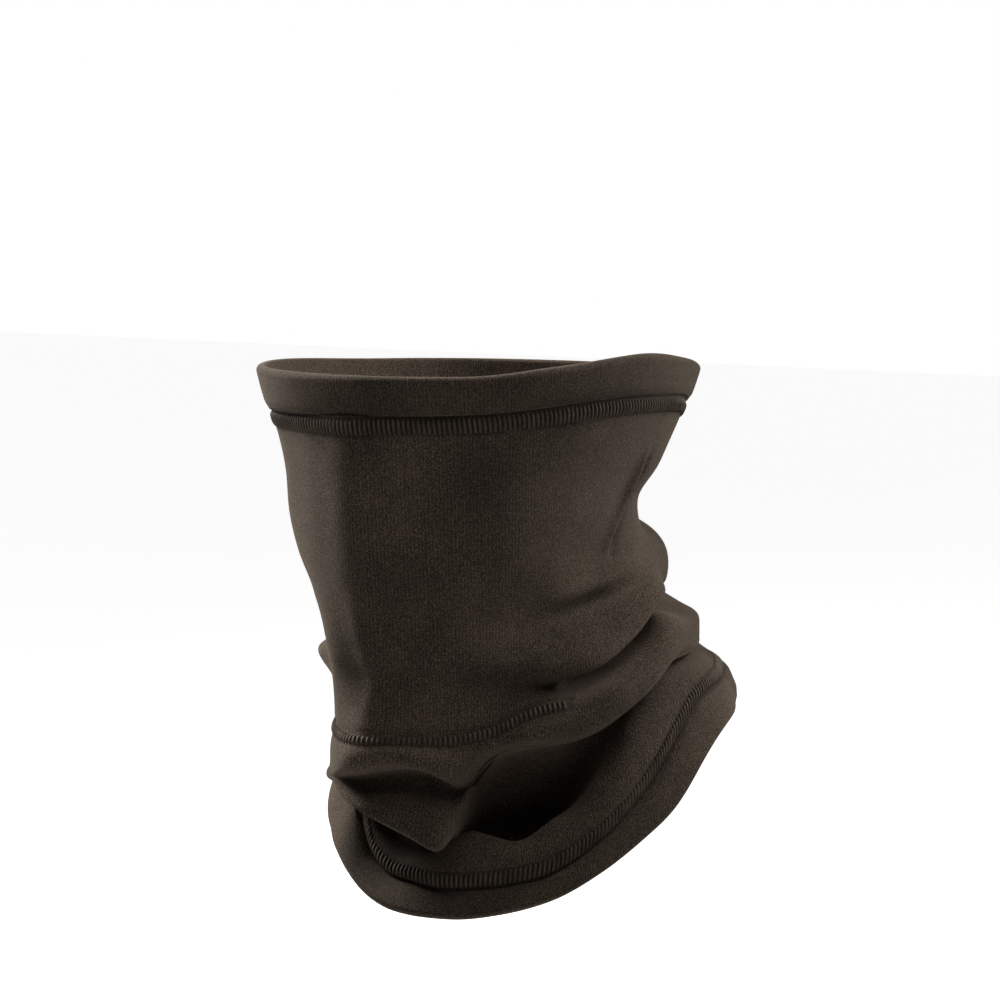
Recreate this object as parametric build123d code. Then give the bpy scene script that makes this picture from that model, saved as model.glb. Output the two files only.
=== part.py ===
"""Fleece neck gaiter, pulled up over a face: a sewn tube with a doubled band at each opening.

Units are millimetres. The origin is the centre of the lower (neck) opening, where the wearer
holds the gaiter up. +Z is up, the face looks along -Y and +X is the wearer's left.
Every piece is a straight-sided loft through the same oval rings, grown outward or inward by
the layer it stands for, so neighbours share their faces and stay in contact when a size changes.
"""
from build123d import *
from collections import namedtuple
from math import cos, radians, sin
import os

# ---- fleece and thread -------------------------------------------------------------------
fleece_thickness = 2.4      # single layer of the body
band_proud = 0.8            # how far a doubled band stands out from the body
band_thickness = 4.6        # doubled band, outside to inside
top_band_height = 15.0
bottom_band_height = 15.0
thread_thickness = 0.6      # bed of thread over or under a flat seam
seam_width = 6.5            # width of the ladder of thread along a band
dart_seam_width = 4.8       # width of the ladder along the chin dart
back_seam_width = 4.8       # width of the ladder down the centre back

# ---- chin dart: a smile-shaped flat seam under the chin -----------------------------------
dart_half_span = 60.0       # centre front to where the dart runs out in the cloth
dart_low_z = 31.0           # height of the seam at centre front
dart_rise = 16.0            # how much higher its ends are

# ---- care label, blank, inside the centre back --------------------------------------------
label_width = 16.0
label_length = 26.0
label_thickness = 0.5
label_drop = 14.0           # top of the label below the upper opening
label_stitch_width = 13.0
label_stitch_height = 1.6
label_stitch_thickness = 0.4

# ---- body rings ---------------------------------------------------------------------------
# half_width is along X, half_depth in the ring's own plane, y and z its centre. tilt, in
# degrees, lowers the front.
Ring = namedtuple("Ring", "half_width half_depth y z tilt")
lower_edge = Ring(74.0, 107.0, 0.0, 0.0, 22.5)
tuck = Ring(60.0, 86.0, -16.0, 26.0, 20.0)
pouch = Ring(68.0, 92.0, -32.0, 43.0, 17.0)
chin = Ring(65.0, 86.0, -36.0, 61.0, 12.0)
jaw = Ring(63.0, 82.0, -43.0, 84.0, 6.0)
mouth = Ring(65.0, 79.0, -50.0, 108.0, 2.0)
cheek = Ring(69.0, 86.0, -45.0, 130.0, 0.0)
upper_edge = Ring(83.0, 96.0, -40.0, 165.5, -2.5)

lower_join_half_width = 67.0    # rings where the bands are sewn on; each lies one band
lower_join_half_depth = 99.0    # height in from its opening
upper_join_half_width = 78.0
upper_join_half_depth = 92.0


def inset(edge, inward, half_width, half_depth):
    """A ring parallel to an opening, this far in from it along its normal."""
    lean = radians(edge.tilt)
    return Ring(half_width, half_depth, edge.y - inward * sin(lean),
                edge.z + inward * cos(lean), edge.tilt)


def toward(start, end, width):
    """A ring parallel to start, this far toward end, on the straight side between them."""
    gap = ((end.y - start.y) ** 2 + (end.z - start.z) ** 2) ** 0.5
    share = width / gap
    half_width, half_depth, y, z = (a + (b - a) * share for a, b in zip(start[:4], end[:4]))
    return Ring(half_width, half_depth, y, z, start.tilt)


lower_join = inset(lower_edge, bottom_band_height, lower_join_half_width, lower_join_half_depth)
upper_join = inset(upper_edge, -top_band_height, upper_join_half_width, upper_join_half_depth)
lower_seam = toward(lower_join, tuck, seam_width)       # far side of the lower ladder
upper_seam = toward(upper_join, cheek, seam_width)      # far side of the upper ladder
body = [lower_join, lower_seam, tuck, pouch, chin, jaw, mouth, cheek, upper_seam, upper_join]

reach = 4 * max(r.half_depth for r in body)     # larger than the gaiter, for cutting tools
face_bed = (0.0, thread_thickness)                              # thread on the right side
back_bed = (-fleece_thickness - thread_thickness, -fleece_thickness)  # on the wrong side


def tube(rings, grow):
    """Closed loft through rings, each grown outward by this much."""
    faces = []
    for r in rings:
        plane = Plane(origin=(0, r.y, r.z), x_dir=(1, 0, 0)).rotated((r.tilt, 0, 0))
        faces.append((plane * Ellipse(r.half_width + grow, r.half_depth + grow)).face())
    return loft(faces, ruled=True)


def layer(rings, inner, outer):
    """Hollow layer between two offsets of the same rings."""
    return tube(rings, outer) - tube(rings, inner)


def shell():
    """Single layer of fleece between the two bands."""
    return layer(body, -fleece_thickness, 0)


def band(edge, join):
    """Doubled fleece band, folded over at the opening, both layers as one solid."""
    return layer([edge, join], band_proud - band_thickness, band_proud)


def seam_thread(join, far_side, bed):
    """Ladder of thread on the body, right beside a band."""
    return layer([join, far_side], *bed)


def dart_thread(bed):
    """Ladder of thread along the chin dart, on the front half only."""
    half = dart_seam_width / 2
    mid, end = dart_low_z, dart_low_z + dart_rise
    outline = Polyline((-dart_half_span, end - half), (-dart_half_span, end + half))
    outline += ThreePointArc((-dart_half_span, end + half), (0, mid + half),
                             (dart_half_span, end + half))
    outline += Line((dart_half_span, end + half), (dart_half_span, end - half))
    outline += ThreePointArc((dart_half_span, end - half), (0, mid - half),
                             (-dart_half_span, end - half))
    strip = extrude(Plane.XZ.offset(-jaw.y) * make_face(outline.edges()), reach)
    return layer([tuck, pouch, chin, jaw, mouth], *bed) & strip


def back_seam_thread(bed):
    """Ladder of thread down the centre back, between the two band seams."""
    strip = Pos(0, jaw.y, 0) * Box(back_seam_width, reach, reach,
                                   align=(Align.CENTER, Align.MIN, Align.CENTER))
    return layer(body[1:-1], *bed) & strip


def patch_inside(start, thickness, width, top_z, height):
    """Flat patch against the inside of the centre back, start mm in from the right side."""
    block = Pos(0, jaw.y, top_z) * Box(width, reach, height,
                                       align=(Align.CENTER, Align.MIN, Align.MAX))
    return layer([jaw, mouth, cheek, upper_seam], -start - thickness, -start) & block


label_top_z = upper_seam.z - label_drop
label_start = fleece_thickness + thread_thickness


def care_label():
    """Blank tab against the back seam."""
    return patch_inside(label_start, label_thickness, label_width, label_top_z, label_length)


def label_stitch():
    """Tack that holds the top of the label to the seam."""
    return patch_inside(label_start + label_thickness, label_stitch_thickness,
                        label_stitch_width, label_top_z - label_stitch_height,
                        label_stitch_height)


pieces = {
    "shell": shell(),
    "top_band": band(upper_edge, upper_join),
    "bottom_band": band(lower_edge, lower_join),
    "top_seam_face_thread": seam_thread(upper_join, upper_seam, face_bed),
    "top_seam_back_thread": seam_thread(upper_join, upper_seam, back_bed),
    "bottom_seam_face_thread": seam_thread(lower_join, lower_seam, face_bed),
    "bottom_seam_back_thread": seam_thread(lower_join, lower_seam, back_bed),
    "chin_dart_face_thread": dart_thread(face_bed),
    "chin_dart_back_thread": dart_thread(back_bed),
    "back_seam_face_thread": back_seam_thread(face_bed),
    "back_seam_back_thread": back_seam_thread(back_bed),
    "care_label": care_label(),
    "label_stitch": label_stitch(),
}

os.makedirs("parts", exist_ok=True)
for name, solid in pieces.items():
    export_step(solid, f"parts/{name}.step")
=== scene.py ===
import math
import bmesh
import bpy
import numpy as np
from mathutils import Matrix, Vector


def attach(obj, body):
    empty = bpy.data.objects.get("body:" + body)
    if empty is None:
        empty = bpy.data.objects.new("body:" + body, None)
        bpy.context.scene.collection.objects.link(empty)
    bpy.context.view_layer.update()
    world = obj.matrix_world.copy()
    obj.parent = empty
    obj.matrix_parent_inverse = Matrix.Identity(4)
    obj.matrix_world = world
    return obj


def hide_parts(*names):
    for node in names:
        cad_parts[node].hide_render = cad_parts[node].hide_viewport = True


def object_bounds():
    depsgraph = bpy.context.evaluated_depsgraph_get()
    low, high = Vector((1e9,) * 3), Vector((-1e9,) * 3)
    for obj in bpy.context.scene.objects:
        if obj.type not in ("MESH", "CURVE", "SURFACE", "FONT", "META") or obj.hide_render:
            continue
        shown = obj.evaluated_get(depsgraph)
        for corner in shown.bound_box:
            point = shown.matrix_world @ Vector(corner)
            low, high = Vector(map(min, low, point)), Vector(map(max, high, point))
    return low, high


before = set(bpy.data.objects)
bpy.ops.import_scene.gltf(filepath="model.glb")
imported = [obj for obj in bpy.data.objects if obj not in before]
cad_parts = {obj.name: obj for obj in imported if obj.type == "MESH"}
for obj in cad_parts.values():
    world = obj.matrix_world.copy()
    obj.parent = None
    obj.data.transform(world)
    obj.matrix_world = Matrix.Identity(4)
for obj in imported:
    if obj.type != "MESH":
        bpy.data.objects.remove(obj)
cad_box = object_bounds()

# ------------------------------------------------------------------------------------------
# Body: one piece of mid-weight fleece, sewn into a tube and worn over nose, chin and neck.
# The cloth runs smooth over nose and cheeks, beaks out under the chin, rolls and creases at
# the wearer's left and the nape, turns under into a deep hollow and comes out as a collar.
# Rows run round the tube from the upper join to the lower one, in millimetres from a point
# 26 in front of the neck opening and 54 below it. Angles are in degrees from the centre
# front towards the wearer's left.
FLEECE = 2.2                        # thickness of one layer
AROUND = 360                        # columns of cloth round the tube
BODY_SHIFT = np.array([0.0, -26.0, -54.0])
angle = np.linspace(-180.0, 180.0, AROUND, endpoint=False)


def keyed(keys, at):
    """Smooth closed curve through (angle, value) keys, with no overshoot between them."""
    keys = sorted(keys)
    a = np.array([k[0] for k in keys], float)
    v = np.array([k[1] for k in keys], float)
    if len(a) == 1:
        return np.full(np.shape(at), v[0])
    a = np.concatenate([a - 360, a, a + 360])
    v = np.concatenate([v, v, v])
    rise = np.diff(v) / np.diff(a)
    slope = np.zeros(len(v))
    same = rise[:-1] * rise[1:] > 0
    both = rise[:-1] + rise[1:]
    slope[1:-1][same] = 2 * (rise[:-1] * rise[1:])[same] / both[same]
    i = np.clip(np.searchsorted(a, at) - 1, 0, len(a) - 2)
    w = a[i + 1] - a[i]
    s = (at - a[i]) / w
    return ((2 * s**3 - 3 * s**2 + 1) * v[i] + (s**3 - 2 * s**2 + s) * w * slope[i]
            + (3 * s**2 - 2 * s**3) * v[i + 1] + (s**3 - s**2) * w * slope[i + 1])


def oval(half_width, front, back, push=((0, 0),)):
    """Distance from the middle to an oval outline at each angle, plus a keyed push outward."""
    t = np.radians(angle)
    mid, depth = (back + front) / 2, (back - front) / 2
    sx, cy = np.sin(t) / half_width, np.cos(t) / depth
    a, b, c = sx**2 + cy**2, 2 * cy * mid / depth, (mid / depth) ** 2 - 1
    return (-b + np.sqrt(b * b - 4 * a * c)) / (2 * a) + keyed(push, angle)


def rounded(values):
    """Takes the corner off a row where the rolls bend up towards the nape, at the left ear."""
    reach = 14
    bell = np.exp(-(np.arange(-reach, reach + 1) / 5.0) ** 2)
    wide = np.concatenate([values[-reach:], values, values[:reach]])
    soft = np.convolve(wide, bell / bell.sum(), "valid")
    return values + np.exp(-((angle - 92) / 18) ** 4) * (soft - values)


def ring(out, height):
    """Points of one row from its distance out and its height keys."""
    t = np.radians(angle)
    out, height = rounded(out), rounded(keyed(height, angle))
    return np.stack([out * np.sin(t), -out * np.cos(t), height], -1)


top_join = ring(oval(78, -107, 78),
                [(-180, 200), (-100, 200), (-49, 204), (0, 207), (25, 208), (65, 212),
                 (98, 210), (135, 203)])
low_join = ring(keyed([(-180, 113), (-150, 102), (-120, 78), (-90, 66), (-60, 63), (-35, 64),
                       (-24, 67), (-14, 68), (0, 70), (25, 74), (44, 76), (61, 78), (77, 81),
                       (92, 85), (110, 89), (122, 90), (150, 102)], angle),
                [(-180, 104), (-150, 98), (-120, 82), (-90, 68), (-60, 60), (-40, 56), (-25, 49),
                 (-14, 30), (-5, 24), (3, 23), (14, 21.5), (25, 22.5), (44, 27), (61, 39.5),
                 (77, 59), (90, 81), (97, 90), (110, 93), (125, 93), (150, 94), (165, 98)])
dart_line = ring(keyed([(-180, 82), (-150, 80), (-120, 72), (-90, 66), (-60, 62), (-30, 71),
                        (-10, 93), (0, 101), (12, 93), (23, 86), (35, 81), (50, 78), (58, 81),
                        (67, 83), (80, 82), (95, 80), (110, 78), (150, 83)], angle),
                 [(-180, 130), (-120, 115), (-60, 92), (-45, 92), (-30, 88), (0, 85), (15, 85),
                  (23, 86), (32, 89), (39, 94), (48, 97), (55, 97), (61, 100), (68, 105),
                  (77, 113), (83, 120.5), (87, 125), (95, 122), (122, 119), (142, 118), (165, 124)])
turned_edge = ring(keyed([(-180, 87), (-120, 75), (-90, 68), (-60, 64), (-30, 72), (-12, 93),
                          (0, 104), (5, 101), (10, 99), (15, 96), (18, 93), (20, 88), (21.5, 80),
                          (23, 75), (25, 74), (36, 78), (53, 77), (68, 78), (77, 79), (83, 80),
                          (90, 79), (100, 78), (122, 79), (150, 83)], angle),
                   [(-180, 119), (-120, 95), (-60, 67.5), (-30, 56), (-12, 64), (-4, 60), (0, 57),
                    (5, 52), (10, 48), (14, 44), (17, 40), (19, 41), (20, 45), (21, 52),
                    (22, 59), (23, 64), (25, 67), (28, 72), (35, 78), (53, 80), (61, 83),
                    (68, 88), (77, 95), (83, 103), (90, 107), (100, 106.5), (122, 106.5),
                    (150, 107)])
rows = [
    (top_join, 5),
    (ring(oval(73, -106, 73, [(-90, 0), (-60, -1.5), (-30, 0)]),
          [(-180, 189), (0, 196), (90, 196), (135, 191)]), 7),
    (ring(oval(68, -105, 66, [(-90, 0), (-60, -2), (-30, 0), (60, 0), (82, 0), (100, 1), (130, 0)]),
          [(-180, 179), (0, 182), (90, 181)]), 8),
    (ring(oval(65, -103.5, 55, [(-90, 0), (-60, -2), (-30, 0), (60, 0), (86, -2), (100, -2),
                                (140, 0)]),
          [(-180, 171), (0, 163), (90, 166)]), 8),
    (ring(oval(63, -102, 57, [(-90, -2), (-60, -4), (-40, -3), (0, 0), (45, -2), (90, 1)]),
          [(-180, 163), (0, 146), (90, 150), (130, 154)]), 8),
    # first roll at the back, over the nape
    (ring(oval(63, -100, 84, [(-120, -2), (-80, -5), (-60, -6), (-45, -7), (-30, -9), (-20, -5),
                              (-9, 0), (12, -1), (35, -4), (60, 2), (75, 8), (87, 12), (96, 6),
                              (106, 2), (120, 0)]),
          [(-180, 150), (-120, 140), (0, 127), (60, 130), (87, 139), (100, 141), (129, 142)]), 8),
    # cloth that hangs over the crease below it
    (ring(oval(64, -99, 83, [(-120, -3), (-80, -5), (-60, -7), (-45, -10), (-30, -13),
                             (-20, -9), (-9, -1), (12, -1), (35, -3), (50, 3), (60, 9),
                             (75, 13), (87, 14), (96, 8), (106, 2), (120, -1)]),
          [(-180, 144), (-120, 133), (-58, 113), (0, 114), (30, 111), (53, 106), (61, 108),
           (68, 112.5), (77, 120.5), (83, 128), (87, 133), (95, 132), (122, 130),
           (145, 130), (165, 137)]), 5),
    # crease from the end of the chin dart up round the wearer's left
    (ring(oval(65, -97, 80, [(-120, -3), (-90, 2), (-60, 1), (-45, -4), (-30, -11), (-20, -9),
                             (-9, -1), (12, -2), (30, -5), (48, -6), (58, -11), (75, -10),
                             (88, -8), (98, -6), (112, -8), (135, -6), (170, -3)]),
          [(-180, 139), (-120, 126), (-60, 106), (0, 107), (30, 103), (50, 101), (58, 103),
           (61, 104), (68, 109), (77, 117), (83, 124.5), (87, 129), (95, 127), (122, 125),
           (145, 124), (165, 131)]), 6),
    # line of the chin dart, then the upper flank of the second roll
    (dart_line, 5),
    # crest of the pouch and of the second roll
    (ring(keyed([(-180, 88), (-120, 76), (-90, 69), (-60, 65), (-30, 74), (-12, 93), (0, 106),
                 (8, 102), (15, 96), (21, 91), (25, 87), (35, 84), (53, 83), (67, 85), (80, 85),
                 (95, 82), (110, 79), (140, 83)], angle),
          [(-180, 126), (-120, 106), (-60, 76), (-30, 76), (0, 78), (8, 80), (15, 78), (21, 73),
           (25, 77), (35, 85), (53, 90), (61, 93), (68, 98), (77, 105), (83, 112), (87, 116.5),
           (95, 114), (122, 112.5), (142, 112), (165, 118)]), 4),
    # edge of the pouch, hanging over the valley behind it
    (ring(keyed([(-180, 88), (-120, 76), (-90, 69), (-60, 65), (-30, 73), (-14, 91), (0, 104),
                 (8, 101), (15, 95), (20, 87), (23, 82), (26, 82), (35, 84), (53, 83), (67, 84),
                 (80, 85),
                 (95, 81), (110, 79), (140, 83)], angle),
          [(-180, 123), (-120, 101), (-60, 73.5), (-30, 68), (-12, 68), (-3, 70), (4, 73),
           (10, 74.5), (16, 71), (20, 66), (22, 66.5), (24, 69.5), (28, 76), (35, 82), (53, 86),
           (61, 89), (68, 93), (77, 100), (83, 107.5), (90, 110.5), (100, 109.5), (122, 109.5),
           (150, 110)]), 3),
    # valley between the pouch and the tongue
    (ring(keyed([(-180, 88), (-120, 76), (-90, 69), (-60, 65), (-30, 73), (-16, 90), (-8, 95),
                 (0, 92), (8, 87), (15, 80), (21, 76), (25, 77), (35, 81), (53, 81), (67, 82),
                 (80, 83), (95, 80), (110, 79), (140, 83)], angle),
          [(-180, 122), (-120, 100), (-60, 71.5), (-30, 66), (-12, 66), (-3, 67), (4, 69.5),
           (10, 70.5), (16, 67), (21, 61), (23, 65), (25, 69), (28, 74), (35, 80), (53, 83),
           (61, 86), (68, 91), (77, 98), (83, 105.5), (90, 109), (100, 108.5), (122, 108.5),
           (150, 109)]), 4),
    # face of the tongue
    (ring(keyed([(-180, 88), (-120, 76), (-90, 69), (-60, 65), (-30, 73), (-14, 92), (-4, 97),
                 (0, 97), (8, 95), (15, 92), (19, 89), (21, 82), (23, 75), (25, 73), (36, 79),
                 (53, 79),
                 (67, 80), (80, 81), (95, 80), (110, 79), (140, 83)], angle),
          [(-180, 121), (-120, 98), (-60, 69.5), (-30, 61), (-12, 65), (-3, 63), (4, 61),
           (10, 59), (16, 55), (20, 54), (22, 61), (25, 67.5), (28, 73), (35, 79), (53, 81.5),
           (61, 84.5), (68, 89.5), (77, 96.5), (83, 104.5), (90, 108), (100, 107.5),
           (122, 107.5), (150, 108)]), 4),
    # turned edge, where the cloth folds under
    (turned_edge, 5),
    # underside, running in to the neck
    (ring(keyed([(-180, 85), (-120, 73), (-90, 65), (-60, 61), (-30, 64), (0, 76), (10, 76),
                 (17, 76), (20, 74), (23, 64), (36, 60), (53, 58), (68, 60), (77, 66), (83, 72),
                 (90, 75), (100, 76), (122, 77), (150, 81)], angle),
          [(-180, 117), (-120, 92.5), (-60, 65.5), (-30, 56), (0, 54), (10, 48), (17, 43), (20, 46),
           (23, 60), (28, 66), (36, 71), (53, 74), (68, 82), (77, 91), (83, 100), (90, 106),
           (100, 105.5), (122, 105.5), (150, 106)]), 6),
    # floor of the hollow
    (ring(keyed([(-180, 85), (-120, 72), (-90, 65), (-60, 62), (-30, 60), (0, 60), (10, 60),
                 (17, 60), (23, 56), (36, 53), (53, 51), (68, 54), (77, 62), (83, 68), (90, 73),
                 (100, 75), (122, 77), (150, 81)], angle),
          [(-180, 115), (-120, 89.5), (-60, 64), (-30, 54.5), (-15, 42), (0, 36), (10, 35),
           (17, 36), (23, 39), (36, 34), (53, 42), (68, 60), (77, 80), (83, 93), (90, 103),
           (100, 104), (122, 104.5), (150, 105)]), 6),
    # crest of the collar
    (ring(keyed([(-180, 90), (-120, 74), (-90, 66), (-60, 62), (-30, 62), (-14, 66), (0, 67),
                 (22, 69), (37, 70), (49, 71), (59, 71), (68, 72), (75, 73), (83, 75), (90, 77),
                 (100, 79), (122, 80), (150, 84)], angle),
          [(-180, 111), (-120, 86), (-90, 72.5), (-60, 62.8), (-35, 56), (-22, 50), (-12, 38),
           (-2, 31), (4, 32), (11, 36), (17, 42), (23, 45), (30, 43), (37, 41), (49, 49.5),
           (59, 56.5), (68, 73), (72, 83), (80, 92), (90, 101.5), (100, 103), (122, 103),
           (150, 103)]), 6),
    # outer face of the collar
    (ring(keyed([(-180, 100), (-120, 77), (-90, 67), (-60, 63), (-30, 64), (-14, 69), (0, 71),
                 (22, 75), (37, 76), (49, 77), (59, 78), (68, 79), (75, 80), (83, 81), (90, 82),
                 (100, 85), (122, 86), (150, 93)], angle),
          [(-180, 107), (-120, 84), (-90, 70), (-60, 61.4), (-38, 55), (-24, 48), (-13, 33),
           (-4, 27), (4, 27), (12, 29), (22, 32), (37, 35), (49, 39), (59, 47), (68, 60),
           (75, 70), (83, 82), (90, 92), (98, 98), (110, 99.5), (122, 99), (150, 99)]), 5),
    (low_join, 0),
]


def weave_rows(rows):
    """Grid of cloth points: smooth curves down through the rows, from the first to the last."""
    points = [r for r, _ in rows]
    points = [2 * points[0] - points[1], *points, 2 * points[-1] - points[-2]]
    knots = [np.zeros(AROUND)]
    for p, q in zip(points, points[1:]):
        knots.append(knots[-1] + np.maximum(np.linalg.norm(q - p, axis=1), 0.5) ** 0.5)
    grid = []
    for i, (_, steps) in enumerate(rows[:-1]):
        p0, p1, p2, p3 = points[i:i + 4]
        k0, k1, k2, k3 = (k[:, None] for k in knots[i:i + 4])
        for n in range(steps + (i == len(rows) - 2)):
            k = k1 + (k2 - k1) * n / steps
            a = (k1 - k) / (k1 - k0) * p0 + (k - k0) / (k1 - k0) * p1
            b = (k2 - k) / (k2 - k1) * p1 + (k - k1) / (k2 - k1) * p2
            c = (k3 - k) / (k3 - k2) * p2 + (k - k2) / (k3 - k2) * p3
            d = (k2 - k) / (k2 - k0) * a + (k - k0) / (k2 - k0) * b
            e = (k3 - k) / (k3 - k1) * b + (k - k1) / (k3 - k1) * c
            grid.append((k2 - k) / (k2 - k1) * d + (k - k1) / (k2 - k1) * e)
    return np.array(grid)


def finer(grid):
    """Doubles the rows of a grid."""
    out = np.empty((2 * len(grid) - 1, *grid.shape[1:]))
    out[0::2] = grid
    out[1::2] = (grid[:-1] + grid[1:]) / 2
    return out


def relax(grid, times):
    """Lets the cloth even itself out, with the first and last rows held."""
    for _ in range(times):
        mean = (grid[:-2] + grid[2:] + np.roll(grid, 1, 1)[1:-1] + np.roll(grid, -1, 1)[1:-1]) / 4
        grid = grid.copy()
        grid[1:-1] += 0.5 * (mean - grid[1:-1])
    return grid


def normals(grid):
    """Outward direction of the cloth at each grid point: forward at the centre front."""
    down = np.gradient(grid, axis=0)
    round_ = np.roll(grid, -1, 1) - np.roll(grid, 1, 1)
    n = np.cross(down, round_)
    n /= np.maximum(np.linalg.norm(n, axis=2, keepdims=True), 1e-9)
    return -n if n[5, AROUND // 2] @ np.array([0, -1, 0]) < 0 else n


cloth = relax(finer(weave_rows(rows)), 6)
outward = normals(cloth)
cloth_angle = np.degrees(np.arctan2(cloth[..., 0], -cloth[..., 1]))
cloth_height = cloth[..., 2]


def crease(path, width, lift, side=0.0):
    """Push along a path of (angle, height) points: lift on the line, side just beyond it."""
    path = np.array(path, float) * (1.4, 1.0)
    seg = np.diff(path, axis=0)
    start = np.concatenate([[0], np.cumsum(np.hypot(*seg.T))])
    best = np.full(cloth_angle.shape, 1e9)
    signed, run = np.zeros_like(best), np.zeros_like(best)
    for p, d, s0 in zip(path, seg, start):
        px, pz = cloth_angle * 1.4 - p[0], cloth_height - p[1]
        along = np.clip((px * d[0] + pz * d[1]) / (d @ d), 0, 1)
        ex, ez = px - along * d[0], pz - along * d[1]
        dist = np.hypot(ex, ez)
        nearer = dist < best
        best = np.where(nearer, dist, best)
        signed = np.where(nearer, np.sign(d[0] * pz - d[1] * px) * dist, signed)
        run = np.where(nearer, s0 + along * np.hypot(*d), run)
    fade = np.sin(np.pi * np.clip(run / start[-1], 0.0, 1.0)) ** 0.6
    return fade * (lift * np.exp(-(best / width) ** 2)
                   + side * np.exp(-((signed - 1.6 * width) / width) ** 2
                                   - (best / (4 * width)) ** 4))


def grid_row(row):
    """Number of the grid row that a named row became."""
    return 2 * sum(steps for _, steps in rows[:[r is row for r, _ in rows].index(True)])


dart_row = grid_row(dart_line)
push = crease([(0, 222), (-1, 190), (-1, 150), (0, 118)], 7.5, 2.2)
push += crease([(0, 140), (1, 122), (3, 106), (1, 80)], 4.2, 2.4)
push += crease([(20, 215), (20, 170), (20, 140), (16, 112)], 11.0, -1.4)
push += crease([(-20, 215), (-20, 170), (-20, 135)], 11.0, -1.4)
push += crease([(88, 190), (84, 180), (80, 171), (74, 161), (69, 150)], 2.8, 3.2, -4.0)
push += crease([(94, 149), (80, 145), (68, 140), (58, 137), (44, 133)], 3.0, 1.8, -3.4)
push += crease([(-95, 91), (-60, 90), (-44, 91)], 3.2, -2.6)
push += crease([(50, 100), (58, 103), (64, 106.5), (68, 110), (77, 118), (83, 125), (88, 129.5),
                (98, 129.5), (114, 128), (145, 127)], 2.1, -4.5)
push += crease([(58, 118), (68, 124), (80, 134), (90, 140)], 5.0, 1.2)
cloth = cloth + outward * push[..., None]
sewn = np.exp(-((np.arange(len(cloth)) - dart_row)[:, None] / 0.8) ** 2) * (abs(angle) < 54)
sewn[1] = 0.5
sewn[-2] = 0.5
cloth = relax(cloth, 3) - outward * (0.9 * sewn)[..., None]
cloth = (cloth + BODY_SHIFT) / 1000
outward = normals(cloth)


# Painted shade: where cloth lies crushed under a ladder of stitches, its colour is darkened for the
# shade in the gaps between the threads: 1 there, 0 elsewhere.
BAND_STRIP, DART_STRIP = 0.0080, (0.0002, 0.0052)   # from the join or the dart, down the cloth
BACK_STRIP, DART_SPAN = 0.0028, 53                  # half width at the back; degrees each side
fall = np.concatenate([np.zeros((1, AROUND)),
                       np.cumsum(np.linalg.norm(np.diff(cloth, axis=0), axis=2), axis=0)])
below_dart = fall - fall[dart_row]
from_back = (180 - abs(angle)) * np.linalg.norm(cloth[..., :2], axis=2) * math.pi / 180
painted_stitch_shade_mask = np.maximum.reduce([
    np.where(fall < BAND_STRIP, 1.0, 0.0), np.where(fall[-1] - fall < BAND_STRIP, 1.0, 0.0),
    np.where((below_dart > DART_STRIP[0]) & (below_dart < DART_STRIP[1])
             & (abs(angle) < DART_SPAN), 1.0, 0.0),
    np.where(from_back < BACK_STRIP, 1.0, 0.0)])


def smooth_object(name, mesh):
    """Puts a closed mesh in the scene, smooth, with its faces turned outward."""
    mesh.shade_smooth()
    obj = bpy.data.objects.new(name, mesh)
    bpy.context.scene.collection.objects.link(obj)
    bm = bmesh.new()
    bm.from_mesh(mesh)
    bmesh.ops.recalc_face_normals(bm, faces=bm.faces)
    bm.to_mesh(mesh)
    bm.free()
    return obj


def closed_sheet(name, outer, inner, across, down):
    """Closed mesh between an outer and an inner grid, with UVs in metres of cloth."""
    rows_, cols = outer.shape[:2]
    mesh = bpy.data.meshes.new(name)
    verts = np.concatenate([outer.reshape(-1, 3), inner.reshape(-1, 3)])
    i, j = np.meshgrid(np.arange(rows_ - 1), np.arange(cols), indexing="ij")
    k = (j + 1) % cols
    a, b, c, d = i * cols + j, i * cols + k, (i + 1) * cols + k, (i + 1) * cols + j
    front = np.stack([a, d, c, b], -1).reshape(-1, 4)
    back = np.stack([a, b, c, d], -1).reshape(-1, 4) + rows_ * cols
    j = np.arange(cols)
    k = (j + 1) % cols
    n, last = rows_ * cols, (rows_ - 1) * cols
    top = np.stack([j, k, k + n, j + n], -1)
    low = np.stack([last + j, last + j + n, last + k + n, last + k], -1)
    faces = np.concatenate([front, back, top, low])
    mesh.from_pydata(verts.tolist(), [], faces.tolist())
    uv = mesh.uv_layers.new(name="cloth")
    u = np.arange(cols + 1) * across / cols
    u0, u1, v0, v1 = (np.broadcast_to(x, (rows_ - 1, cols))
                      for x in (u[:-1], u[1:], down[:-1, None], down[1:, None]))
    f = np.stack([u0, v0, u0, v1, u1, v1, u1, v0], -1)
    g = np.stack([u0, v0, u1, v0, u1, v1, u0, v1], -1)
    ends = np.zeros((2 * cols, 8))
    ends[:, 0::2] = np.tile(u[:-1], 2)[:, None]
    data = np.concatenate([f.reshape(-1), g.reshape(-1), ends.reshape(-1)])
    uv.data.foreach_set("uv", data.astype(np.float32))
    return smooth_object(name, mesh)


run = np.linalg.norm(np.diff(cloth, axis=0), axis=2)[:, AROUND // 2]
down = np.concatenate([[0.0], np.cumsum(run)])
body = closed_sheet("fleece_body", cloth, cloth - outward * FLEECE / 1000, 0.50, down)
# The painted shade mask under the stitch ladders, stored on the body for the fleece material.
shaded = body.data.attributes.new("painted_stitch_shade", "FLOAT", "POINT")
shaded.data.foreach_set("value", np.tile(painted_stitch_shade_mask.reshape(-1), 2).astype(np.float32))


def group(name, inputs, outputs):
    """Empty shader node group with named sockets."""
    g = bpy.data.node_groups.new(name, "ShaderNodeTree")
    for label, kind, value in inputs:
        s = g.interface.new_socket(label, in_out="INPUT", socket_type=kind)
        if value is not None:
            s.default_value = value
    for label, kind in outputs:
        g.interface.new_socket(label, in_out="OUTPUT", socket_type=kind)
    return g, g.nodes.new("NodeGroupInput"), g.nodes.new("NodeGroupOutput")


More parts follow.
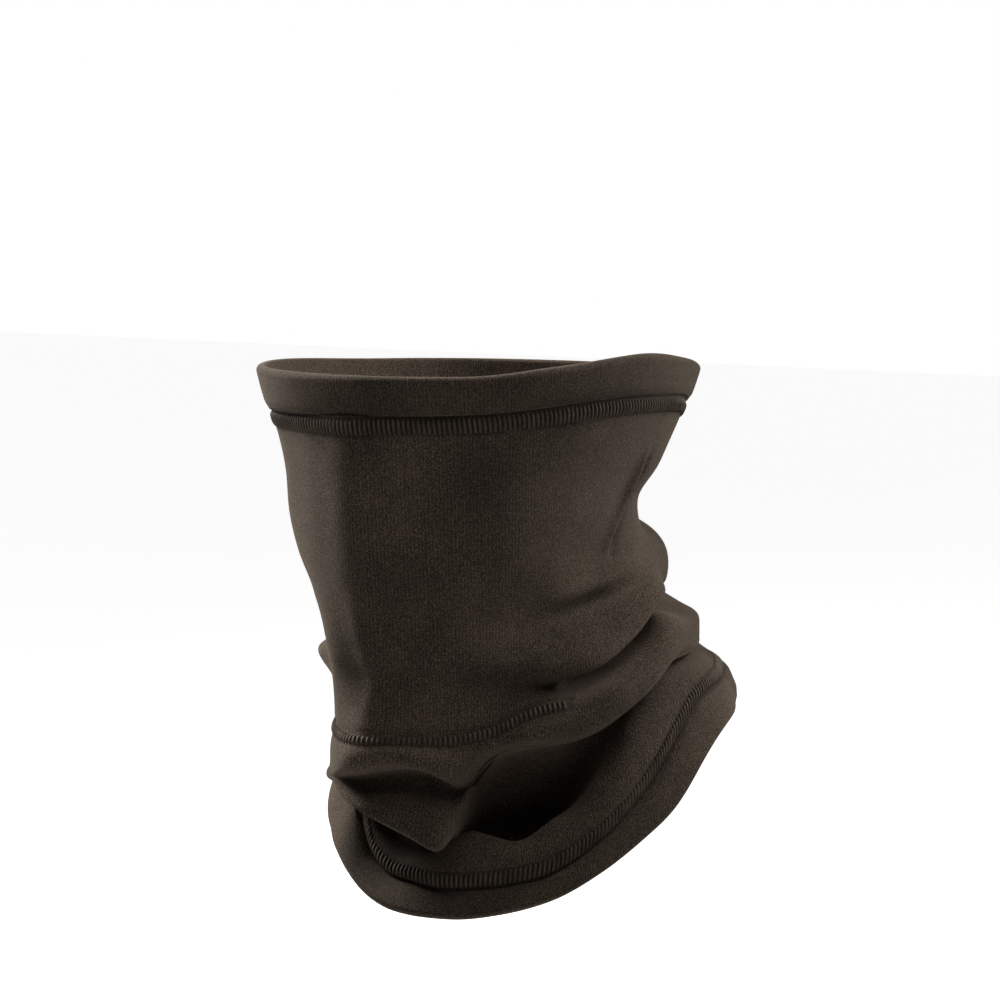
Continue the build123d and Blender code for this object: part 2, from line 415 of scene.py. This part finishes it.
def node(tree, kind, **settings):
    """Adds a node; settings that name an input set its value, the others are properties."""
    n = tree.nodes.new(kind)
    for key, value in settings.items():
        if hasattr(n, key) and key not in n.inputs:
            setattr(n, key, value)
        else:
            n.inputs[key].default_value = value
    return n


# Pile of the brushed face: short curled fibres over faint knit columns.
pile, pin, pout = group("fleece_pile", [
    ("Columns per metre", "NodeSocketFloat", 900.0),
    ("Fibre scale", "NodeSocketFloat", 3200.0),
    ("Dark", "NodeSocketColor", (0.0045, 0.0034, 0.0024, 1)),
    ("Mid", "NodeSocketColor", (0.019, 0.0142, 0.0102, 1)),
    ("Light", "NodeSocketColor", (0.055, 0.045, 0.036, 1))],
    [("Color", "NodeSocketColor"), ("Height", "NodeSocketFloat"), ("Roughness", "NodeSocketFloat")])
L = pile.links
uvs = node(pile, "ShaderNodeUVMap", uv_map="cloth")
split = node(pile, "ShaderNodeSeparateXYZ")
L.new(uvs.outputs["UV"], split.inputs[0])
col = node(pile, "ShaderNodeMath", operation="MULTIPLY")
L.new(split.outputs["X"], col.inputs[0])
L.new(pin.outputs["Columns per metre"], col.inputs[1])
turn = node(pile, "ShaderNodeMath", operation="MULTIPLY")
turn.inputs[1].default_value = 2 * math.pi
L.new(col.outputs[0], turn.inputs[0])
columns = node(pile, "ShaderNodeMath", operation="SINE")
L.new(turn.outputs[0], columns.inputs[0])
coord = node(pile, "ShaderNodeTexCoord")
fibre = node(pile, "ShaderNodeTexNoise", Detail=3.0, Roughness=0.65)
L.new(coord.outputs["Object"], fibre.inputs["Vector"])
L.new(pin.outputs["Fibre scale"], fibre.inputs["Scale"])
tuft = node(pile, "ShaderNodeTexNoise", Scale=1700.0, Detail=2.0, Roughness=0.6)
L.new(coord.outputs["Object"], tuft.inputs["Vector"])
worn = node(pile, "ShaderNodeTexNoise", Scale=24.0, Detail=3.0, Roughness=0.5)
L.new(coord.outputs["Object"], worn.inputs["Vector"])


def blend(tree, a, b, wa, wb):
    """wa * a + wb * b."""
    m = node(tree, "ShaderNodeMath", operation="MULTIPLY")
    m.inputs[1].default_value = wa
    tree.links.new(a, m.inputs[0])
    n = node(tree, "ShaderNodeMath", operation="MULTIPLY_ADD")
    n.inputs[1].default_value = wb
    tree.links.new(b, n.inputs[0])
    tree.links.new(m.outputs[0], n.inputs[2])
    return n.outputs[0]


fuzz = blend(pile, fibre.outputs["Fac"], tuft.outputs["Fac"], 0.62, 0.38)
height = blend(pile, fuzz, columns.outputs[0], 1.0, 0.018)
L.new(height, pout.inputs["Height"])
shade = blend(pile, height, worn.outputs["Fac"], 0.85, 0.15)
low = node(pile, "ShaderNodeMapRange", **{"From Min": 0.42, "From Max": 0.505})
high = node(pile, "ShaderNodeMapRange", **{"From Min": 0.505, "From Max": 0.61})
L.new(shade, low.inputs["Value"])
L.new(shade, high.inputs["Value"])
mix1 = node(pile, "ShaderNodeMix", data_type="RGBA")
mix2 = node(pile, "ShaderNodeMix", data_type="RGBA")
L.new(low.outputs[0], mix1.inputs["Factor"])
L.new(pin.outputs["Dark"], mix1.inputs[6])
L.new(pin.outputs["Mid"], mix1.inputs[7])
L.new(high.outputs[0], mix2.inputs["Factor"])
L.new(mix1.outputs[2], mix2.inputs[6])
L.new(pin.outputs["Light"], mix2.inputs[7])
L.new(mix2.outputs[2], pout.inputs["Color"])
rough = node(pile, "ShaderNodeMapRange", **{"From Min": 0.3, "From Max": 0.7,
                                            "To Min": 1.0, "To Max": 0.85})
L.new(shade, rough.inputs["Value"])
L.new(rough.outputs[0], pout.inputs["Roughness"])


def fleece_material(name, light, bump):
    """Brushed fleece: matt, dark brown charcoal, paler where the pile catches the light."""
    m = bpy.data.materials.new(name)
    m.use_nodes = True
    t = m.node_tree
    skin = t.nodes["Principled BSDF"]
    skin.inputs["Sheen Weight"].default_value = 0.06
    skin.inputs["Sheen Roughness"].default_value = 0.42
    skin.inputs["Sheen Tint"].default_value = (1.0, 0.80, 0.64, 1)
    skin.inputs["Specular IOR Level"].default_value = 0.12
    g = t.nodes.new("ShaderNodeGroup")
    g.node_tree = pile
    g.inputs["Light"].default_value = (*light, 1)
    # Painted shade: under the stitch ladders the pile colour is mixed towards near black, standing
    # in for the shade between the threads.
    under = node(t, "ShaderNodeAttribute", attribute_name="painted_stitch_shade")
    part = node(t, "ShaderNodeMath", operation="MULTIPLY")
    part.inputs[1].default_value = 0.62
    stitch_shade_mix = node(t, "ShaderNodeMix", data_type="RGBA")
    stitch_shade_mix.inputs[7].default_value = (0.005, 0.0038, 0.0028, 1)
    t.links.new(under.outputs["Fac"], part.inputs[0])
    t.links.new(part.outputs[0], stitch_shade_mix.inputs["Factor"])
    t.links.new(g.outputs["Color"], stitch_shade_mix.inputs[6])
    t.links.new(stitch_shade_mix.outputs[2], skin.inputs["Base Color"])
    t.links.new(g.outputs["Roughness"], skin.inputs["Roughness"])
    b = node(t, "ShaderNodeBump", Strength=0.8, Distance=bump)
    t.links.new(g.outputs["Height"], b.inputs["Height"])
    t.links.new(b.outputs["Normal"], skin.inputs["Normal"])
    return m


fleece = fleece_material("brushed_fleece", (0.078, 0.061, 0.046), 0.0010)
body.data.materials.append(fleece)
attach(body, "root")
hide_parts("shell")

# ------------------------------------------------------------------------------------------
# Upper and lower bands: strips of the same fleece, folded double and sewn to the body edge.
# The fold is the free edge, softly rounded and a little puffed; the join is pinched flat.
BAND = 4.4                          # doubled thickness at the fold
edge_top = ring(oval(83, -111, 82), [(-180, 215), (-110, 217), (-55, 221), (0, 222), (25, 222),
                                     (45, 225), (72, 228), (97, 224), (135, 217)])
edge_low = ring(keyed([(-180, 123), (-150, 109), (-120, 83), (-90, 71), (-60, 69), (-40, 71),
                       (-28, 75), (-16, 78), (0, 79), (18, 78), (32, 80), (46, 81), (61, 82),
                       (75, 85), (88, 89), (101, 92), (110, 94), (122, 94.5), (135, 99),
                       (150, 109)], angle),
                [(-180, 95), (-150, 88), (-120, 70), (-90, 54), (-60, 43), (-40, 36), (-28, 31),
                 (-19, 25), (-8, 17.5), (0, 14), (9, 12.5), (18, 12), (32, 15), (46, 20),
                 (61, 29.5), (75, 42), (84, 51), (93, 66), (101, 75), (110, 80), (122, 81),
                 (150, 83), (165, 88)])


def folded_band(join, edge, outward_at_join):
    """Doubled strip from the join out to its folded edge, as one closed loop of cloth."""
    join, edge = (join + BODY_SHIFT) / 1000, (edge + BODY_SHIFT) / 1000
    reach = edge - join
    tall = np.linalg.norm(reach, axis=1, keepdims=True)
    along = reach / tall
    tangent = np.roll(edge, -1, 0) - np.roll(edge, 1, 0)
    face = np.cross(tangent, along)
    face /= np.linalg.norm(face, axis=1, keepdims=True)
    face *= np.sign(np.median(np.sum(face * outward_at_join, axis=1)))
    loop = []
    half = BAND / 2000
    for s in np.linspace(0, 1, 13)[:-1]:
        puff = 0.62 + 0.38 * min(1, s / 0.22) + 0.08 * math.sin(math.pi * s)
        loop.append((s * 0.87, puff))
    for q in np.linspace(90, -90, 11):
        loop.append((0.87 + 0.13 * math.cos(math.radians(q)), math.sin(math.radians(q))))
    loop += [(s, -p) for s, p in reversed(loop[:12])]
    sheet = np.array([join + along * tall * s + face * (half * p - half * 0.55)
                      for s, p in loop])
    return np.concatenate([sheet, sheet[:1]])


def band_object(name, sheet):
    """Closed tube mesh of a band, round both ways, with UVs in metres of cloth."""
    n, cols = len(sheet) - 1, sheet.shape[1]
    mesh = bpy.data.meshes.new(name)
    i, j = np.meshgrid(np.arange(n), np.arange(cols), indexing="ij")
    k, l = (j + 1) % cols, (i + 1) % n
    faces = np.stack([i * cols + j, l * cols + j, l * cols + k, i * cols + k], -1).reshape(-1, 4)
    mesh.from_pydata(sheet[:-1].reshape(-1, 3).tolist(), [], faces.tolist())
    uv = mesh.uv_layers.new(name="cloth")
    run = np.concatenate([[0], np.cumsum(np.linalg.norm(np.diff(sheet[:, 0], axis=0), axis=1))])
    u0, u1 = j * 0.5 / cols, (j + 1) * 0.5 / cols
    f = np.stack([u0, run[i], u0, run[i + 1], u1, run[i + 1], u1, run[i]], -1)
    uv.data.foreach_set("uv", f.reshape(-1).astype(np.float32))
    return smooth_object(name, mesh)


# Painted shade: the bands get a darker copy of the body's fleece, with its paler fibres toned down,
# though the cloth is the same.
darker_band_cloth = fleece_material("band_fleece", (0.066, 0.050, 0.037), 0.0010)
top_band = band_object("upper_band", folded_band(top_join, edge_top, outward[0]))
low_band = band_object("lower_band", folded_band(low_join, edge_low, outward[-1]))
for band, cad in ((top_band, "top_band"), (low_band, "bottom_band")):
    band.data.materials.append(darker_band_cloth)
    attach(band, "root")
    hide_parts(cad)

# ------------------------------------------------------------------------------------------
# Flat seams: tone-on-tone sewing thread. On the right side a ladder of short cross threads
# lies over each join, a stitch about every two millimetres; on the wrong side the looper thread
# makes a finer ladder. One pair at each band, one along the chin dart, one down the back.
STITCH = 0.0019                     # spacing of the cross threads


def on_cloth(grid, row, col):
    """Value of a grid between its points; columns go round and round."""
    r0 = np.clip(np.floor(row).astype(int), 0, len(grid) - 2)
    c0 = np.floor(col).astype(int)
    fr, fc = (row - r0)[..., None], (col - c0)[..., None]
    c0, c1 = c0 % AROUND, (c0 + 1) % AROUND
    return ((grid[r0, c0] * (1 - fc) + grid[r0, c1] * fc) * (1 - fr)
            + (grid[r0 + 1, c0] * (1 - fc) + grid[r0 + 1, c1] * fc) * fr)


def rows_away(row, cols, distance):
    """Grid row that lies this far down the cloth from a row, for each column."""
    found = []
    for c in cols:
        line = fall[:, int(round(c)) % AROUND]
        found.append(np.interp(line[row] + distance, line, np.arange(len(line))))
    return np.array(found)


def spaced_columns(row, first, last):
    """Columns one stitch apart along a row, between two angles."""
    ends = (np.array([first, last]) + 180) * AROUND / 360
    span = np.arange(int(ends[0]), int(ends[1]) + 1)
    line = cloth[row, span % AROUND]
    run = np.concatenate([[0], np.cumsum(np.linalg.norm(np.diff(line, axis=0), axis=1))])
    count = int(run[-1] / STITCH)
    return np.interp(np.arange(count) * run[-1] / count, run, span)


def ladder(name, row0, col0, row1, col1, thick, high, wrong_side=False, deeper=0.0):
    """Cross threads lying on the cloth from (row0, col0) to (row1, col1), ends sunk in.

    deeper moves them this far inward, for threads over something that lies on the cloth.
    """
    along = np.linspace(0, 1, 9)
    taper = np.array([0.35, 0.8, 1, 1, 1, 1, 1, 0.8, 0.35])[None, :, None, None]
    sink = np.array([-0.5, 0.3, 0.75, 0.9, 1, 0.9, 0.75, 0.3, -0.5])[None, :, None, None]
    row = row0[:, None] + (row1 - row0)[:, None] * along
    col = col0[:, None] + (col1 - col0)[:, None] * along
    base, up = on_cloth(cloth - outward * deeper, row, col), on_cloth(outward, row, col)
    up /= np.linalg.norm(up, axis=2, keepdims=True)
    if wrong_side:
        base, up = base - up * FLEECE / 1000, -up
    run = np.gradient(base, axis=1)
    side = np.cross(up, run)
    side /= np.linalg.norm(side, axis=2, keepdims=True)
    q = np.radians(np.arange(0, 360, 60))
    around = (side[:, :, None] * np.cos(q)[None, None, :, None] * taper * thick / 2
              + up[:, :, None] * np.sin(q)[None, None, :, None] * taper * high / 2
              + up[:, :, None] * sink * high / 2)
    verts = (base[:, :, None] + around).reshape(-1, 3)
    n, m, k = len(row0), len(along), len(q)
    faces = []
    for i in range(n):
        o = i * m * k
        for j in range(m - 1):
            for p in range(k):
                r = (p + 1) % k
                faces.append((o + j * k + p, o + j * k + r,
                              o + (j + 1) * k + r, o + (j + 1) * k + p))
        faces.append(tuple(o + p for p in reversed(range(k))))
        faces.append(tuple(o + (m - 1) * k + p for p in range(k)))
    mesh = bpy.data.meshes.new(name)
    mesh.from_pydata(verts.tolist(), [], faces)
    return smooth_object(name, mesh)


# Thread: spun polyester, its two plies showing as a fine twist.
thread = bpy.data.materials.new("spun_thread")
thread.use_nodes = True
tree = thread.node_tree
skin = tree.nodes["Principled BSDF"]
skin.inputs["Roughness"].default_value = 0.72
skin.inputs["Specular IOR Level"].default_value = 0.12
coord = node(tree, "ShaderNodeTexCoord")
ply = node(tree, "ShaderNodeTexNoise", Scale=1800.0, Detail=2.0, Roughness=0.6)
tone = node(tree, "ShaderNodeTexNoise", Scale=160.0, Detail=1.0)
tree.links.new(coord.outputs["Object"], ply.inputs["Vector"])
tree.links.new(coord.outputs["Object"], tone.inputs["Vector"])
ramp = node(tree, "ShaderNodeValToRGB")
ramp.color_ramp.elements[0].position, ramp.color_ramp.elements[1].position = 0.35, 0.68
ramp.color_ramp.elements[0].color = (0.014, 0.011, 0.008, 1)
ramp.color_ramp.elements[1].color = (0.050, 0.040, 0.030, 1)
tree.links.new(blend(tree, ply.outputs["Fac"], tone.outputs["Fac"], 0.6, 0.4), ramp.inputs["Fac"])
tree.links.new(ramp.outputs["Color"], skin.inputs["Base Color"])
bump = node(tree, "ShaderNodeBump", Strength=0.5, Distance=0.0003)
tree.links.new(ply.outputs["Fac"], bump.inputs["Height"])
tree.links.new(bump.outputs["Normal"], skin.inputs["Normal"])

last_row = len(cloth) - 1
SLANT = 0.35                        # how far each cross thread leans, in columns
FACE, BACK = (0.00112, 0.0010), (0.0009, 0.0007)    # thickness and height of a thread
threads = []
for seam, row, way, gap, width, first, last in (
        ("top_seam", 0, 1, 0.0012, 0.0064, -180, 179.4),
        ("bottom_seam", last_row, -1, 0.0012, 0.0064, -180, 179.4),
        ("chin_dart", dart_row, 1, 0.0004, 0.0044, -52, 51)):
    cols = spaced_columns(row, first, last)
    near, far = rows_away(row, cols, way * gap), rows_away(row, cols, way * (gap + width))
    threads.append((seam + "_face_thread", near, cols, far, cols + SLANT, *FACE, False))
    threads.append((seam + "_back_thread", near, cols, far, cols - SLANT, *BACK, True))
down_back = fall[:, 0]
spots = np.arange(0.0075, down_back[-1] - 0.0075, STITCH)
spots = np.interp(spots, down_back, np.arange(len(down_back)))
half = np.array([0.0023 / np.linalg.norm(cloth[int(r), 1] - cloth[int(r), 0]) for r in spots])
threads.append(("back_seam_face_thread", spots, -half, spots + 0.3, half, *FACE, False))
threads.append(("back_seam_back_thread", spots, -half, spots + 0.3, half, *BACK, True))
for name, row0, col0, row1, col1, thick, high, wrong in threads:
    rungs = ladder(name + "_ladder", row0, col0, row1, col1, thick, high, wrong)
    rungs.data.materials.append(thread)
    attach(rungs, "root")
    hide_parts(name)

# ------------------------------------------------------------------------------------------
# Care label: a blank woven ribbon, folded double and tacked to the back seam inside, with
# its lower end hanging free and a little curled.
LABEL = (0.016, 0.026, 0.00045)     # width, length, thickness of the folded ribbon
LABEL_GAP = 0.0012                  # from the body's inner face to the ribbon at the tack
wide, tall = 9, 25
first_row = rows_away(0, [0], 0.021)[0]
tag_rows = np.interp(down_back[int(first_row)] + np.linspace(0, LABEL[1], tall), down_back,
                     np.arange(len(down_back)))
spread = np.linspace(-0.5, 0.5, wide)
step = np.array([LABEL[0] / np.linalg.norm(cloth[int(r), 1] - cloth[int(r), 0]) for r in tag_rows])
tag_row = np.repeat(tag_rows[:, None], wide, 1)
tag_col = spread[None, :] * step[:, None]
tag_up = -on_cloth(outward, tag_row, tag_col)
curl = LABEL_GAP + 0.0045 * np.linspace(0, 1, tall)[:, None, None] ** 2
tag = on_cloth(cloth, tag_row, tag_col) + tag_up * (FLEECE / 1000 + curl)


def slab(name, face, back):
    """Closed mesh between two equal grids."""
    r, c = face.shape[:2]
    verts = np.concatenate([face.reshape(-1, 3), back.reshape(-1, 3)]).tolist()
    faces, n = [], r * c
    for i in range(r - 1):
        for j in range(c - 1):
            q = (i * c + j, i * c + j + 1, (i + 1) * c + j + 1, (i + 1) * c + j)
            faces += [q, tuple(v + n for v in reversed(q))]
    rim = ([j for j in range(c)] + [(i + 1) * c - 1 for i in range(1, r)]
           + [(r - 1) * c + j for j in reversed(range(c - 1))]
           + [i * c for i in reversed(range(1, r - 1))])
    for p, q in zip(rim, rim[1:] + rim[:1]):
        faces.append((q, p, p + n, q + n))
    mesh = bpy.data.meshes.new(name)
    mesh.from_pydata(verts, [], faces)
    return smooth_object(name, mesh)


label = slab("care_label_ribbon", tag, tag + tag_up * LABEL[2])
ribbon = bpy.data.materials.new("woven_ribbon")
ribbon.use_nodes = True
tree = ribbon.node_tree
skin = tree.nodes["Principled BSDF"]
skin.inputs["Roughness"].default_value = 0.6
skin.inputs["Specular IOR Level"].default_value = 0.15
coord = node(tree, "ShaderNodeTexCoord")
warp = node(tree, "ShaderNodeTexWave", Scale=260.0, Distortion=0.6, Detail=1.0)
weft = node(tree, "ShaderNodeTexWave", bands_direction="Z", Scale=200.0, Distortion=0.6)
tree.links.new(coord.outputs["Object"], warp.inputs["Vector"])
tree.links.new(coord.outputs["Object"], weft.inputs["Vector"])
weave = blend(tree, warp.outputs["Fac"], weft.outputs["Fac"], 0.5, 0.5)
ramp = node(tree, "ShaderNodeValToRGB")
ramp.color_ramp.elements[0].color = (0.020, 0.020, 0.021, 1)
ramp.color_ramp.elements[1].color = (0.034, 0.034, 0.035, 1)
tree.links.new(weave, ramp.inputs["Fac"])
tree.links.new(ramp.outputs["Color"], skin.inputs["Base Color"])
bump = node(tree, "ShaderNodeBump", Strength=0.4, Distance=0.0002)
tree.links.new(weave, bump.inputs["Height"])
tree.links.new(bump.outputs["Normal"], skin.inputs["Normal"])
label.data.materials.append(ribbon)
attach(label, "root")
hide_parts("care_label")

# Tack: a row of short stitches across the top of the label.
tack_u = np.linspace(-0.42, 0.42, 8)
tack_row = np.full(8, tag_rows[2])
tack_step = step[2]
tack = ladder("label_tack", tack_row, tack_u * tack_step, tack_row + 0.05,
              (tack_u + 0.075) * tack_step, 0.0006, 0.0007, True, LABEL_GAP + LABEL[2])
tack.data.materials.append(thread)
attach(tack, "root")
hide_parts("label_stitch")

# ------------------------------------------------------------------------------------------
# Surroundings: plain pale floor, soft light from both sides behind, and the camera.
floor_mesh = bpy.data.meshes.new("floor")
floor_mesh.from_pydata([(-6, -6, 0), (6, -6, 0), (6, 6, 0), (-6, 6, 0)], [], [(0, 1, 2, 3)])
floor = bpy.data.objects.new("floor", floor_mesh)
floor.location.z = cad_box[0][2] - 0.30
bpy.context.scene.collection.objects.link(floor)
paint = bpy.data.materials.new("pale_floor")
paint.use_nodes = True
coat = paint.node_tree.nodes["Principled BSDF"]
coat.inputs["Base Color"].default_value = (0.55, 0.55, 0.55, 1)
coat.inputs["Roughness"].default_value = 0.9
coat.inputs["Emission Color"].default_value = (1, 1, 1, 1)
seen = node(paint.node_tree, "ShaderNodeLightPath")
glow = node(paint.node_tree, "ShaderNodeMapRange", **{"To Min": 0.0, "To Max": 0.9})
paint.node_tree.links.new(seen.outputs["Is Camera Ray"], glow.inputs["Value"])
paint.node_tree.links.new(glow.outputs[0], coat.inputs["Emission Strength"])
floor_mesh.materials.append(paint)

world = bpy.data.worlds.new("studio")
world.use_nodes = True
sky = world.node_tree
sky.nodes["Background"].inputs["Color"].default_value = (1, 1, 1, 1)
seen = node(sky, "ShaderNodeLightPath")
level = node(sky, "ShaderNodeMapRange", **{"To Min": 0.10, "To Max": 1.0})
sky.links.new(seen.outputs["Is Camera Ray"], level.inputs["Value"])
sky.links.new(level.outputs[0], sky.nodes["Background"].inputs["Strength"])
bpy.context.scene.world = world
bpy.context.scene.view_settings.view_transform = "Standard"

middle = np.array([0.0, -0.026, 0.111])


def aim(obj, azimuth, elevation, distance):
    """Places a lamp or camera at this bearing, looking at the middle of the gaiter."""
    a, e = math.radians(azimuth), math.radians(elevation)
    away = np.array([math.sin(a) * math.cos(e), -math.cos(a) * math.cos(e), math.sin(e)])
    obj.location = Vector(middle + away * distance)
    obj.rotation_euler = Vector(away).to_track_quat("Z", "Y").to_euler()
    bpy.context.scene.collection.objects.link(obj)


def soft_light(name, azimuth, elevation, distance, size, watts):
    """Square soft box aimed at the middle of the gaiter."""
    lamp = bpy.data.lights.new(name, "AREA")
    lamp.energy, lamp.size, lamp.color = watts, size, (1.0, 0.94, 0.87)
    aim(bpy.data.objects.new(name, lamp), azimuth, elevation, distance)


soft_light("left_rear_box", -92, 36, 1.2, 0.5, 64)
soft_light("right_rear_box", 140, 34, 1.2, 0.5, 35)
soft_light("front_fill", 34, 54, 0.58, 0.3, 2.3)

lens = bpy.data.cameras.new("camera")
lens.sensor_width, lens.lens = 36.0, 126.0
camera = bpy.data.objects.new("camera", lens)
aim(camera, 32, 6.5, 1.4)
bpy.context.scene.camera = camera
